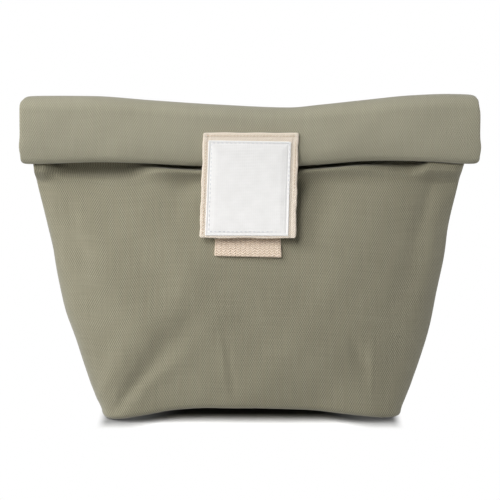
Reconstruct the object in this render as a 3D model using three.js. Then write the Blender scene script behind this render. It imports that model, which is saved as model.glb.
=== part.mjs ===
// Roll-up lunch bag: a boxed cloth bag whose flat mouth is rolled down twice and held by a tab.
// Millimetres, +Z up, +X to the viewer's right, front toward -Y, origin at the middle of the base.
import * as THREE from 'three';

// Overall sizes of the closed bag. A boxed base takes half its depth off the flat width on each side.
const MOUTH_WIDTH = 280;
const BASE_WIDTH = 176;
const BASE_DEPTH = MOUTH_WIDTH - BASE_WIDTH;
const CLOSED_HEIGHT = 192;
const ROLL_HEIGHT = 40;
const ROLL_SAG = 7;
const ROLL_DROP = 2.5;

// Cloth, and the fits between its layers.
const CANVAS = 0.8;
const LINING = 1.2;
const LAYER_GAP = 0.3;
const MOUTH_GAP = 0.4;
const ROLL_GAP = 0.5;

// One wall is canvas and lining. The flat mouth is two walls, and the roll is three such bundles.
const LINING_INSET = CANVAS + LAYER_GAP;
const WALL = LINING_INSET + LINING;
const HALF_BUNDLE = WALL + MOUTH_GAP / 2;
const PITCH = 2 * HALF_BUNDLE + ROLL_GAP;
const ROLL_FACE_Y = -PITCH - HALF_BUNDLE;

// Heights of the two fold lines of the roll. Each turn opens about a line half a bend's length
// beyond its fold, and the lip is as long as still swings clear of the neck.
const TOP_FOLD_Z = CLOSED_HEIGHT - PITCH - HALF_BUNDLE;
const BOTTOM_FOLD_RADIUS = PITCH / 2 + HALF_BUNDLE;
const SHOULDER_Z = CLOSED_HEIGHT - ROLL_HEIGHT;
const BOTTOM_FOLD_Z = SHOULDER_Z + BOTTOM_FOLD_RADIUS;
const TURN_HINGE_Z = TOP_FOLD_Z + (Math.PI * PITCH) / 2;
const LIP_HINGE_Z = BOTTOM_FOLD_Z - (Math.PI * PITCH) / 4;
const SWING_CLEARANCE = 1;
const LIP_TOP_Z = LIP_HINGE_Z + (TURN_HINGE_Z - LIP_HINGE_Z) / 2 - SWING_CLEARANCE;
const HEM_HEIGHT = 4;

// The body by height, in shares of: the height under the roll, the way from the base's width to the
// mouth's, and the base's depth; then how square the section is, and its share of the shift back.
const BODY_SHAPE = [
  [0, -0.04, 0.96, 8, 0],
  [0.016, 0, 1, 8, 0],
  [0.145, 0.17, 0.96, 6, 0],
  [0.375, 0.39, 0.84, 4.2, 0],
  [0.61, 0.56, 0.63, 3.2, 0.05],
  [0.79, 0.67, 0.41, 2.8, 0.25],
  [0.93, 0.78, 0.24, 2.6, 0.64],
  [0.967, 0.81, 0.18, 2.8, 0.84],
  [0.997, 0.86, 0.06, 4, 0.98],
];
const NECK_Z = SHOULDER_Z + 3;
const NECK_SPREAD = 0.885;
const widthAt = (spread) => (BASE_WIDTH + (MOUTH_WIDTH - BASE_WIDTH) * spread) / 2;
const BODY_STATIONS = [
  ...BODY_SHAPE.map(([height, spread, depth, squareness, shift]) => [
    height * SHOULDER_Z, widthAt(spread), (depth * BASE_DEPTH) / 2, squareness, shift * PITCH,
  ]),
  [NECK_Z, widthAt(NECK_SPREAD), HALF_BUNDLE, 6, PITCH],
  [TOP_FOLD_Z, MOUTH_WIDTH / 2, HALF_BUNDLE, 8, PITCH],
];
const LOWER_SHARE = 0.88;
const LOWER_ROWS = 9;
const NECK_ROWS = 3;
const SEAM_STEP = 0.02;
const QUARTER_STEPS = 9;

// The closure: a tab of folded cloth with its label, on a strip of webbing, with the two tapes.
const TAB_WIDTH = 58;
const TAB_LENGTH = 64;
const TAB_DROP = 22;
const TAB_SEWN_EDGE = 3.6;
const TAB_CLOTH = 1.6;
const TAB_BEND_START = 2;
const TAB_BEND = 20;
const TAB_LEAVES_BODY = 11;
const LABEL_WIDTH = 50;
const LABEL_LENGTH = 57;
const LABEL_DROP = 4.8;
const LABEL_CLOTH = 0.5;
const WEBBING_WIDTH = 40;
const WEBBING_SHOWS = 10;
const WEBBING_CLOTH = 1.2;
const WEBBING_TURN = 8;
const WEBBING_TURN_CLOTH = 0.8;
const TAPE_WIDTH = 38;
const TAPE_CLOTH = 1.2;
const TAPE_MARGIN = 4;
const HOOK_LENGTH = 19;
const LOOP_LENGTH = 22;
const TAB_TOP_Z = CLOSED_HEIGHT - TAB_DROP;
const TAB_BOTTOM_Z = TAB_TOP_Z - TAB_LENGTH;
const FLAP_TOP_Z = TAB_TOP_Z - TAB_SEWN_EDGE - LAYER_GAP;
const WEBBING_TOP_Z = SHOULDER_Z - TAB_SEWN_EDGE - PITCH - TAPE_MARGIN;
const WEBBING_BOTTOM_Z = TAB_BOTTOM_Z - WEBBING_SHOWS;
const TAPE_BOTTOM_Z = TAB_BOTTOM_Z + TAPE_MARGIN;

const COLOURS = {
  canvas: 0x98937f,
  lining: 0xc9cdd0,
  twill: 0xe3d8ca,
  label: 0xeeedea,
  webbing: 0xddcbb7,
  tape: 0xd2c8b6,
};

function cloth(colour, roughness = 0.95, metalness = 0) {
  return new THREE.MeshStandardMaterial({ color: colour, roughness, metalness });
}

const foil = () => cloth(COLOURS.lining, 0.4, 0.2);

// A smooth curve through one column of the stations that never runs past its neighbours.
function station(z, column) {
  const last = BODY_STATIONS.length - 1;
  const slope = (k) => {
    const [low, high] = [BODY_STATIONS[k], BODY_STATIONS[k + 1]];
    return (high[column] - low[column]) / (high[0] - low[0]);
  };
  const tangent = (k) => {
    if (k === 0 || k === last) return slope(Math.min(k, last - 1));
    const [before, after] = [slope(k - 1), slope(k)];
    return before * after <= 0 ? 0 : (2 * before * after) / (before + after);
  };
  let k = 0;
  while (k < last - 1 && z > BODY_STATIONS[k + 1][0]) k += 1;
  const [low, high] = [BODY_STATIONS[k], BODY_STATIONS[k + 1]];
  const span = high[0] - low[0];
  const t = THREE.MathUtils.clamp((z - low[0]) / span, 0, 1);
  const rise = high[column] - low[column];
  const [m0, m1] = [tangent(k) * span, tangent(k + 1) * span];
  return low[column] + t * m0 + t * t * (3 * rise - 2 * m0 - m1) + t * t * t * (m0 + m1 - 2 * rise);
}

// Half of a rounded section, from one side seam over the middle to the other, in equal steps of
// cloth with a short first step at each seam. Each point is x and the share of the half depth.
function halfSection(halfWidth, halfDepth, squareness) {
  const samples = 400;
  const points = [];
  let length = 0;
  for (let i = 0; i <= samples; i += 1) {
    const angle = (i / samples) * (Math.PI / 2);
    const x = halfWidth * Math.cos(angle) ** (2 / squareness);
    const y = halfDepth * Math.sin(angle) ** (2 / squareness);
    if (i > 0) length += Math.hypot(x - points[i - 1].x, y - points[i - 1].y);
    points.push({ x, y, length });
  }
  const quarter = [];
  let k = 0;
  for (let i = 0; i <= QUARTER_STEPS + 1; i += 1) {
    const share = i === 0 ? 0 : SEAM_STEP + ((i - 1) / QUARTER_STEPS) * (1 - SEAM_STEP);
    while (k < samples - 1 && points[k + 1].length < share * length) k += 1;
    const [a, b] = [points[k], points[k + 1]];
    const t = THREE.MathUtils.clamp((share * length - a.length) / (b.length - a.length), 0, 1);
    quarter.push([a.x + t * (b.x - a.x), (a.y + t * (b.y - a.y)) / halfDepth]);
  }
  const mirrored = quarter.slice(0, -1).reverse().map(([x, y]) => [-x, y]);
  return [...quarter, ...mirrored];
}

const ACROSS = 2 * (QUARTER_STEPS + 1);

// How far the top of the roll hangs down at a place across its width.
const sag = (x) => ROLL_SAG * (1 - (x / (MOUTH_WIDTH / 2)) ** 2);

// The front face of the outer canvas at a place on the body.
function frontFace(x, z) {
  const [halfWidth, halfDepth, squareness, shift] = [1, 2, 3, 4].map((c) => station(z, c));
  return shift - halfDepth * (1 - Math.abs(x / halfWidth) ** squareness) ** (1 / squareness);
}

// A closed solid between two grids of points, such as a sheet of cloth with its thickness.
function thickSheet(nu, nv, point) {
  const stride = (nu + 1) * (nv + 1);
  const id = (side, i, j) => side * stride + j * (nu + 1) + i;
  const positions = [];
  const index = [];
  for (const side of [0, 1]) {
    for (let j = 0; j <= nv; j += 1) {
      for (let i = 0; i <= nu; i += 1) positions.push(...point(side, i, j));
    }
  }
  const quad = (a, b, c, d) => index.push(a, b, c, a, c, d);
  for (let j = 0; j < nv; j += 1) {
    for (let i = 0; i < nu; i += 1) {
      quad(id(0, i, j), id(0, i + 1, j), id(0, i + 1, j + 1), id(0, i, j + 1));
      quad(id(1, i, j), id(1, i, j + 1), id(1, i + 1, j + 1), id(1, i + 1, j));
    }
  }
  for (let i = 0; i < nu; i += 1) {
    quad(id(0, i + 1, 0), id(0, i, 0), id(1, i, 0), id(1, i + 1, 0));
    quad(id(0, i, nv), id(0, i + 1, nv), id(1, i + 1, nv), id(1, i, nv));
  }
  for (let j = 0; j < nv; j += 1) {
    quad(id(0, 0, j), id(0, 0, j + 1), id(1, 0, j + 1), id(1, 0, j));
    quad(id(0, nu, j + 1), id(0, nu, j), id(1, nu, j), id(1, nu, j + 1));
  }
  const geometry = new THREE.BufferGeometry();
  geometry.setAttribute('position', new THREE.Float32BufferAttribute(positions, 3));
  geometry.setIndex(signedVolume(positions, index) < 0 ? index.reverse() : index);
  geometry.computeVertexNormals();
  return geometry;
}

function signedVolume(positions, index) {
  const corner = (k) => new THREE.Vector3().fromArray(positions, 3 * index[k]);
  let volume = 0;
  for (let k = 0; k < index.length; k += 3) {
    volume += corner(k).cross(corner(k + 1)).dot(corner(k + 2)) / 6;
  }
  return volume;
}

function piece(name, geometry, material) {
  const mesh = new THREE.Mesh(geometry, material);
  mesh.name = name;
  return mesh;
}

// Heights of the rows of the body's walls: the base's edge, even rows, then the shoulder's stations.
function wallLevels() {
  const [low, high] = [BODY_STATIONS[1][0], LOWER_SHARE * SHOULDER_Z];
  const even = Array.from({ length: LOWER_ROWS + 1 }, (_, k) => low + ((high - low) * k) / LOWER_ROWS);
  const shoulder = BODY_STATIONS.map(([z]) => z).filter((z) => z > high && z < NECK_Z);
  return [0, ...even, ...shoulder, NECK_Z - LAYER_GAP];
}

// Heights of the rows of the neck, the flat stretch behind the roll.
function neckLevels() {
  const length = TOP_FOLD_Z - LAYER_GAP - NECK_Z;
  return Array.from({ length: NECK_ROWS + 1 }, (_, k) => NECK_Z + (length * k) / NECK_ROWS);
}

// One side of the body or of the neck, front or back, at a depth inside the outer face.
function bodyPanel(name, facing, inset, thickness, heights, material) {
  const levels = heights.map((z) => Math.max(z, inset));
  const rows = levels.map((z) => [inset, inset + thickness].map((depth) => {
    const [halfWidth, halfDepth, squareness, shift] = [1, 2, 3, 4].map((c) => station(z, c));
    const neckShare = THREE.MathUtils.clamp((z - NECK_Z) / (TOP_FOLD_Z - NECK_Z), 0, 1);
    const inner = halfDepth - depth;
    return halfSection(halfWidth - depth, inner, squareness).map(([x, share]) => [
      x,
      shift + facing * (LAYER_GAP / 2 + (inner - LAYER_GAP / 2) * share),
      z - sag(x) * neckShare,
    ]);
  }));
  return piece(name, thickSheet(ACROSS, levels.length - 1, (side, i, j) => rows[j][side][i]), material);
}

const outerPanel = (name, facing, heights) =>
  bodyPanel(name, facing, 0, CANVAS, heights, cloth(COLOURS.canvas));
const liningPanel = (name, facing, heights) =>
  bodyPanel(name, facing, LINING_INSET, LINING, heights, foil());

// An outline without the points that lie on its straight stretches.
function cornersOf(points) {
  return points.filter((point, k) => {
    const [before, after] = [points.at(k - 1), points[(k + 1) % points.length]];
    const along = after.clone().sub(before);
    return Math.abs(along.cross(point.clone().sub(before))) > 0.01 * along.length();
  });
}

// The flat bottom inside the walls, for the canvas and for the lining above it.
function basePanel(name, inset, thickness, material) {
  const [, halfWidth, halfDepth, squareness] = BODY_STATIONS[0];
  const edge = inset + thickness + LAYER_GAP;
  const half = halfSection(halfWidth - edge, halfDepth - edge, squareness);
  const front = half.map(([x, share]) => new THREE.Vector2(x, -(halfDepth - edge) * share));
  const back = front.slice(1, -1).reverse().map(({ x, y }) => new THREE.Vector2(x, -y));
  const outline = new THREE.Shape(cornersOf([...front, ...back]));
  const geometry = new THREE.ExtrudeGeometry(outline, { depth: thickness, bevelEnabled: false });
  geometry.translate(0, 0, inset);
  return piece(name, geometry, material);
}

// The four layers of the flattened mouth, each by its two depths from the middle of the bundle.
const LAYERS = [
  ['back_canvas', 1, HALF_BUNDLE, HALF_BUNDLE - CANVAS, 0, 'canvas'],
  ['back_lining', 1, HALF_BUNDLE - LINING_INSET, MOUTH_GAP / 2, LINING_INSET, 'lining'],
  ['front_lining', -1, HALF_BUNDLE - LINING_INSET, MOUTH_GAP / 2, LINING_INSET, 'lining'],
  ['front_canvas', -1, HALF_BUNDLE, HALF_BUNDLE - CANVAS, 0, 'canvas'],
];

// The path of the roll: over the top, down the front, under, and up inside. Each place gives the
// height and depth of a layer that lies d behind the middle of the bundle.
const PATH = {
  topFold: (x, d, t) => [
    (PITCH + d) * Math.cos(Math.PI * t),
    TOP_FOLD_Z - sag(x) + (PITCH + d) * Math.sin(Math.PI * t),
  ],
  outerTurn: (x, d, t) => {
    const top = TOP_FOLD_Z - sag(x) - LAYER_GAP;
    return [-PITCH - d, top + (BOTTOM_FOLD_Z + LAYER_GAP - top) * t];
  },
  bottomFold: (x, d, t) => {
    const radius = PITCH / 2 + d;
    const stretch = 1 + (sag(x) / ROLL_SAG) * (ROLL_DROP / BOTTOM_FOLD_RADIUS);
    return [
      -PITCH / 2 - radius * Math.cos(Math.PI * t),
      BOTTOM_FOLD_Z - radius * Math.sin(Math.PI * t) * stretch,
    ];
  },
  innerLip: (x, d, t) => {
    const bottom = BOTTOM_FOLD_Z + LAYER_GAP;
    return [d, bottom + (LIP_TOP_Z - HEM_HEIGHT - LAYER_GAP - bottom) * t];
  },
};

// One layer of cloth along one stretch of the roll. Front and back layers close in at the sides.
function rollLayer(prefix, path, steps, [layer, facing, outer, inner, inset, kind]) {
  const half = [outer, inner].map((depth, k) => {
    const width = MOUTH_WIDTH / 2 - inset - k * (outer - inner);
    return halfSection(width, depth, BODY_STATIONS.at(-1)[3]).map(([x, share]) => [
      x,
      facing * (LAYER_GAP / 2 + (depth - LAYER_GAP / 2) * share),
    ]);
  });
  const material = kind === 'canvas' ? cloth(COLOURS.canvas) : foil();
  const geometry = thickSheet(ACROSS, steps, (side, i, j) => {
    const [x, d] = half[side][i];
    const [y, z] = path(x, d, j / steps);
    return [x, y, z];
  });
  return piece(`${prefix}_${layer}`, geometry, material);
}

// The turned and stitched edge of the mouth, one on each side, standing at the end of the lip.
function mouthHem(name, facing) {
  const geometry = new THREE.BoxGeometry(MOUTH_WIDTH, WALL, HEM_HEIGHT);
  geometry.translate(0, (facing * (MOUTH_GAP + WALL)) / 2, LIP_TOP_Z - HEM_HEIGHT / 2);
  return piece(name, geometry, cloth(COLOURS.canvas));
}

// A strip of cloth that hangs on a face, by its width, its heights, and its face and thickness.
function strip(name, width, topZ, bottomZ, steps, back, thickness, material) {
  const across = 4;
  const geometry = thickSheet(across, steps, (side, i, j) => {
    const x = width * (i / across - 0.5);
    const z = topZ + ((bottomZ - topZ) * j) / steps;
    return [x, back(x, z) - side * thickness(z), z];
  });
  return piece(name, geometry, material);
}

const onBody = (offset) => (x, z) => frontFace(x, z) - offset;
const LOOP_OFFSET = WEBBING_CLOTH + 2 * LAYER_GAP;
const HOOK_OFFSET = LOOP_OFFSET + TAPE_CLOTH + LAYER_GAP;
const TAB_OFFSET = HOOK_OFFSET + TAPE_CLOTH + LAYER_GAP;

// The back of the tab: flat on the roll, then leaning out over the shoulder to the tapes.
function tabBack(x, z) {
  const share = THREE.MathUtils.smoothstep(SHOULDER_Z + TAB_BEND_START - z, 0, TAB_BEND);
  const onRoll = ROLL_FACE_Y - LAYER_GAP;
  const onTapes = frontFace(0, Math.min(z, SHOULDER_Z - TAB_LEAVES_BODY)) - TAB_OFFSET;
  return onRoll + (Math.min(onTapes, onRoll) - onRoll) * share;
}

const even = (thickness) => () => thickness;

// The webbing is thicker where its lower end is turned under.
function webbingThickness(z) {
  const turned = THREE.MathUtils.smoothstep(WEBBING_BOTTOM_Z + WEBBING_TURN - z, 0, 2);
  return WEBBING_CLOTH + WEBBING_TURN_CLOTH * turned;
}

const bag = new THREE.Group();

const body = new THREE.Group();
body.add(
  outerPanel('outer_front_panel', -1, wallLevels()),
  outerPanel('outer_back_panel', 1, wallLevels()),
  basePanel('outer_base_panel', 0, CANVAS, cloth(COLOURS.canvas)),
  liningPanel('lining_front', -1, wallLevels()),
  liningPanel('lining_back', 1, wallLevels()),
  basePanel('lining_base', LINING_INSET, LINING, foil()),
  outerPanel('neck_front_canvas', -1, neckLevels()),
  outerPanel('neck_back_canvas', 1, neckLevels()),
  liningPanel('neck_front_lining', -1, neckLevels()),
  liningPanel('neck_back_lining', 1, neckLevels()),
  ...LAYERS.map((layer) => rollLayer('top_fold', PATH.topFold, 8, layer)),
  strip('front_webbing', WEBBING_WIDTH, WEBBING_TOP_Z, WEBBING_BOTTOM_Z, 12,
    onBody(LAYER_GAP), webbingThickness, cloth(COLOURS.webbing)),
  strip('loop_tape', TAPE_WIDTH, TAPE_BOTTOM_Z + LOOP_LENGTH, TAPE_BOTTOM_Z, 6,
    onBody(LOOP_OFFSET), even(TAPE_CLOTH), cloth(COLOURS.tape)),
);

const outerTurn = new THREE.Group();
outerTurn.add(
  ...LAYERS.map((layer) => rollLayer('outer_turn', PATH.outerTurn, 1, layer)),
  ...LAYERS.map((layer) => rollLayer('bottom_fold', PATH.bottomFold, 6, layer)),
  strip('tab_sewn_edge', TAB_WIDTH, TAB_TOP_Z, TAB_TOP_Z - TAB_SEWN_EDGE, 1,
    tabBack, even(TAB_CLOTH), cloth(COLOURS.twill)),
);

const innerLip = new THREE.Group();
innerLip.add(
  ...LAYERS.map((layer) => rollLayer('inner_lip', PATH.innerLip, 1, layer)),
  mouthHem('mouth_hem_back', 1),
  mouthHem('mouth_hem_front', -1),
);

const tab = new THREE.Group();
const labelTop = TAB_TOP_Z - LABEL_DROP;
tab.add(
  strip('tab_flap', TAB_WIDTH, FLAP_TOP_Z, TAB_BOTTOM_Z, 20,
    tabBack, even(TAB_CLOTH), cloth(COLOURS.twill)),
  strip('tab_label', LABEL_WIDTH, labelTop, labelTop - LABEL_LENGTH, 20,
    (x, z) => tabBack(x, z) - TAB_CLOTH - LAYER_GAP, even(LABEL_CLOTH), cloth(COLOURS.label, 0.8)),
  strip('hook_tape', TAPE_WIDTH, TAPE_BOTTOM_Z + HOOK_LENGTH, TAPE_BOTTOM_Z, 6,
    onBody(HOOK_OFFSET), even(TAPE_CLOTH), cloth(COLOURS.tape)),
);

bag.add(body, outerTurn, innerLip, tab);

export default bag;
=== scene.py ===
import bpy
import numpy as np
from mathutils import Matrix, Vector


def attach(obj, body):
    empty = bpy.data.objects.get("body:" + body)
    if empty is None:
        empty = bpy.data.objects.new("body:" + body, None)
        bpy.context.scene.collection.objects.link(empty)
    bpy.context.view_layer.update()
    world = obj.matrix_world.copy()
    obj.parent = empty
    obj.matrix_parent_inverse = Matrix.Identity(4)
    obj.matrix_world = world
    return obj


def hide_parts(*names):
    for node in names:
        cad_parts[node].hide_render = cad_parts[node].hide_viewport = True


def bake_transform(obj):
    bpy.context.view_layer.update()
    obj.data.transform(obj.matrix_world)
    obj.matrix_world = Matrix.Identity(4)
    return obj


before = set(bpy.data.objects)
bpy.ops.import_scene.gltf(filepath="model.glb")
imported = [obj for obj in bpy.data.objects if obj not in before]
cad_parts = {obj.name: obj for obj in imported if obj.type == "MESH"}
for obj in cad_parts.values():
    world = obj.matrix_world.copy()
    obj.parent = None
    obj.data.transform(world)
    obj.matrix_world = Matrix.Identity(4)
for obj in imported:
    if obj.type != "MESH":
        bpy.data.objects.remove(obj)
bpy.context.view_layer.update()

# Front of the body: one width of khaki cotton canvas, from the boxed base up to the flat neck behind
# the roll. It is sewn to the back down both sides, and its lower corners are boxed, which makes the
# rounded foot. Soft creases run up from the corners. Sizes are in millimetres.
CANVAS = 0.8
BUNDLE_HALF = 2.5
PITCH = 5.5
SEAM_GAP = 0.02
SHOULDER_Z = 152.0
NECK_Z, NECK_TOP_Z = 155.0, 184.0
LAST_ROW_Z = NECK_Z - 0.3
BASE_HALF_WIDTH, MOUTH_HALF_WIDTH, BASE_HALF_DEPTH = 88.0, 140.0, 52.0
# Rows up the body: height as a share of the shoulder's, how far the width has spread from base to mouth,
# share of the base's depth, squareness of the section, and shift back as a share of the roll's pitch.
BODY_SHAPE = np.array([
    [0, 0.045, 0.91, 8, 0],
    [0.008, 0.05, 0.955, 8, 0],
    [0.018, 0.058, 0.985, 8, 0],
    [0.034, 0.07, 1, 7, 0],
    [0.145, 0.23, 0.965, 5, 0],
    [0.375, 0.45, 0.86, 3.3, 0],
    [0.61, 0.61, 0.66, 2.6, 0.05],
    [0.79, 0.72, 0.43, 2.3, 0.25],
    [0.93, 0.82, 0.24, 2.3, 0.64],
    [0.967, 0.845, 0.18, 2.5, 0.84],
    [0.997, 0.87, 0.06, 4, 0.98],
    [NECK_Z / SHOULDER_Z, 0.885, BUNDLE_HALF / BASE_HALF_DEPTH, 6, 1],
    [NECK_TOP_Z / SHOULDER_Z, 1, BUNDLE_HALF / BASE_HALF_DEPTH, 8, 1],
])
# Soft folds on the front: start x and z, end x and z, width, and height out of the cloth. Each is
# narrow at its start and opens out towards its end.
FRONT_FOLDS = [
    (-81, 8, -37, 66, 7.6, -3.1),
    (-93, 12, -66, 66, 6.0, 1.0),
    (-78, 12, -38, 44, 3.6, 0.5),
    (-66, 8, -24, 60, 11, -1.5),
    (-48, 52, -29, 112, 11.0, 1.1),
    (-15, 60, -10, 12, 1.6, -0.65),
    (-18, 60, -13, 12, 2.0, 0.4),
    (60, 54, 73, 24, 4.6, -1.0),
    (73.5, 6, 73.5, 50, 1.4, 0.6),
    (115, 145, 88, 55, 7.0, -1.4),
    (120, 126, 94, 30, 5.0, 0.4),
    (-110, 130, -94, 60, 7.0, -0.8),
    (80, 8, 92, 60, 5.0, -0.6),
    (52, 120, 58, 66, 14, 0.8),
]


def through(points, x):
    """A smooth curve through a few points: cubic pieces whose slope at each point is the harmonic mean of
    the slopes beside it, and level at a peak, so that it never overshoots."""
    xs, ys = np.array(points, float).T
    slope = np.diff(ys) / np.diff(xs)
    before, after = slope[:-1], slope[1:]
    same = before * after > 0
    middle = np.where(same, 2 * before * after / np.where(same, before + after, 1), 0)
    tangent = np.concatenate([slope[:1], middle, slope[-1:]])
    k = np.clip(np.searchsorted(xs, x) - 1, 0, len(xs) - 2)
    span = xs[k + 1] - xs[k]
    t = np.clip((x - xs[k]) / span, 0, 1)
    low, high = tangent[k] * span, tangent[k + 1] * span
    rise = ys[k + 1] - ys[k]
    return ys[k] + t * low + t**2 * (3 * rise - 2 * low - high) + t**3 * (low + high - 2 * rise)


def smooth(x, start, end):
    """Rises from 0 at start to 1 at end as 3t^2 - 2t^3."""
    t = np.clip((x - start) / (end - start), 0, 1)
    return t * t * (3 - 2 * t)


def side_tuck(z):
    """How far the side seams are drawn in at a height: the spare width of the cloth between base and roll."""
    return through([(0, 0), (25, 1.0), (62, 2.6), (110, 3.8), (138, 3.4), (150, 1.6), (NECK_Z, 0)], z)


def body_sizes(z):
    """Half width, half depth, squareness and shift of the body's section at a height."""
    share = z / SHOULDER_Z
    spread, depth, square, shift = (through(BODY_SHAPE[:, [0, c]], share) for c in range(1, 5))
    width = BASE_HALF_WIDTH + (MOUTH_HALF_WIDTH - BASE_HALF_WIDTH) * spread + 1.15 * side_tuck(z)
    return width, depth * BASE_HALF_DEPTH, square, shift * PITCH


def even_section(half_width, half_depth, squareness, share):
    """Half a rounded section from the left seam over the face to the right one: x = a cos^(2/n) and
    depth = b sin^(2/n) of an angle, which is chosen so that equal shares are equal lengths of cloth."""
    a, b, n = (np.reshape(v, (-1, 1)) for v in np.broadcast_arrays(half_width, half_depth, squareness))
    fine_steps = 1601
    angle = np.linspace(np.pi, 0, fine_steps)
    x = a * np.sign(np.cos(angle)) * np.abs(np.cos(angle)) ** (2 / n)
    depth = b * np.abs(np.sin(angle)) ** (2 / n)
    step = np.hypot(np.diff(x, axis=1, prepend=x[:, :1]), np.diff(depth, axis=1, prepend=depth[:, :1]))
    length = np.cumsum(step, axis=1)
    row = 2.0 * np.arange(len(a))[:, None]
    at = (share[None, :] + row).ravel()
    known = (length / length[:, -1:] + row).ravel()
    return [np.interp(at, known, v.ravel()).reshape(len(a), -1) for v in (x, depth)]


def body_face(facing, inset, z):
    """A face of the body's wall, front (-1) or back (1), that deep inside the outer face: the section's x,
    the shift plus or minus its depth, and the height."""
    z = np.maximum(z, inset + 0.1 * z)
    width, depth, square, shift = body_sizes(z)
    x, d = even_section(width - inset, depth - inset, square, ACROSS)
    d = SEAM_GAP + d * (1 - SEAM_GAP / (depth - inset))[:, None]
    return np.stack([x, shift[:, None] + facing * d, np.broadcast_to(z[:, None], x.shape)], axis=-1)


def outward(grid, facing):
    """The direction out of a grid of points: the cross product of its steps across and along."""
    n = np.cross(np.gradient(grid, axis=1), np.gradient(grid, axis=0))
    return -facing * n / np.linalg.norm(n, axis=-1, keepdims=True)


def crease(x, z, x0, z0, x1, z1, width, height):
    """A soft fold along a line: the height times a bell across it, fading out at both ends."""
    length = np.hypot(x1 - x0, z1 - z0)
    t = ((x - x0) * (x1 - x0) + (z - z0) * (z1 - z0)) / length**2
    across = ((x - x0) * (z1 - z0) - (z - z0) * (x1 - x0)) / length
    opened = width * (0.45 + 1.1 * np.clip(t, 0, 1))
    return height * np.exp(-((across / opened) ** 2) - 1.1 * (2 * t - 1) ** 4)


def uneven(x, z):
    """Slow unevenness of hanging cloth: five waves of different length and direction, added."""
    return (0.5 * np.sin(0.045 * x + 0.031 * z + 1.0) + 0.35 * np.sin(0.082 * x - 0.055 * z + 2.2)
            + 0.3 * np.sin(-0.064 * x + 0.093 * z + 0.4) + 0.18 * np.sin(0.15 * x + 0.11 * z + 4.0)
            + 0.12 * np.sin(-0.21 * x + 0.17 * z + 5.1))


def foot_lift(x, y):
    """How far the middle of the base's front edge stands off the floor, between the two front corners."""
    edge = through([(-92, 0), (-84, 0.6), (-66, 3.4), (-44, 7.0), (-20, 8.3), (6, 8.0), (36, 6.9), (58, 4.6),
                    (84, 1.5), (93, 0)], x)
    return edge * smooth(-y, 4, 50)


def low_line(x):
    """Height of the lower fold line across the roll: it sags in the middle, most at the tab."""
    plain_height = 157.3
    return plain_height + through([(-140, -0.5), (-120, 0.4), (-92, 1.3), (-65, 0.6), (-34, -0.95), (2, -1.6),
                                   (31, -0.95), (50, 0.4), (66, 1.8), (84, 2.3), (108, 1.7), (126, 0.4),
                                   (140, -0.4)], x)


def under_roll(x, y, z, inset):
    """Where the cloth just under the roll lies, in y and z. Mostly it pushes up against the roll in a
    rounded shoulder with a narrow shelf behind it. Near the left end it stays back in a hollow."""
    start = 140.0
    t = np.clip((z - start) / (LAST_ROW_Z - start), 0, 1)
    below_neck = smooth(-t, -1, -0.85)
    shoulder = through([(-140, 0.2), (-133, 0.7), (-127, 0.7), (-119, 0.15), (-112, 0), (-72, 0), (-62, 0.6),
                        (-50, 1), (58, 1), (80, 0.6), (98, 0.4), (112, 0.75), (126, 0.75), (134, 0.5),
                        (140, 0.2)], x)
    hollow = through([(-140, 0), (-120, 0), (-110, 0.85), (-98, 1), (-80, 1), (-69, 0.5), (-58, 0.1),
                      (-46, 0), (70, 0), (84, 0.2), (100, 0.3), (111, 0.1), (120, 0), (140, 0)], x)
    apart = through([(-140, 0), (-126, 0), (-113, 1), (100, 1), (112, 0), (140, 0)], x)
    pushed = through([(0, -8.9), (0.2, -9.7), (0.36, -10.1), (0.5, -10.1), (0.58, -9.5), (0.66, -8.2),
                      (0.76, -4.6), (0.87, -0.2), (0.95, 2.2), (1, 3)], t)
    back = through([(0, -8), (0.15, -6), (0.3, -2.4), (0.42, 0.3), (0.55, 1.8), (0.75, 2.5), (1, 3)], t)
    level = through([(0, -14), (0.36, -9.0), (0.5, -6.5), (0.58, -5.2), (0.66, -4.8), (0.76, -5.2),
                     (0.87, -5.3), (0.95, -4.4), (1, -2)], t) - 2.5 * apart * smooth(t, 0.3, 0.6) * below_neck
    enters = smooth(t, 0, 0.34)
    new_y = y + enters * (shoulder * (pushed + inset - y) + hollow * (back + inset - y))
    meets = np.maximum(shoulder, 1 - apart) * (1 - smooth(t, 0.9, 1))
    on_shelf = smooth(t, 0.5, 0.68) * smooth(-t, -1, -0.9)
    new_z = z + enters * meets * (low_line(x) + level - inset * on_shelf - z)
    beside_tab = np.exp(-(((x + 38) / 10.5) ** 2)) + 1.1 * np.exp(-(((x - 38) / 10.5) ** 2))
    return new_y + 2.8 * beside_tab * np.exp(-(((z - 138) / 5) ** 2)), new_z


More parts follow.
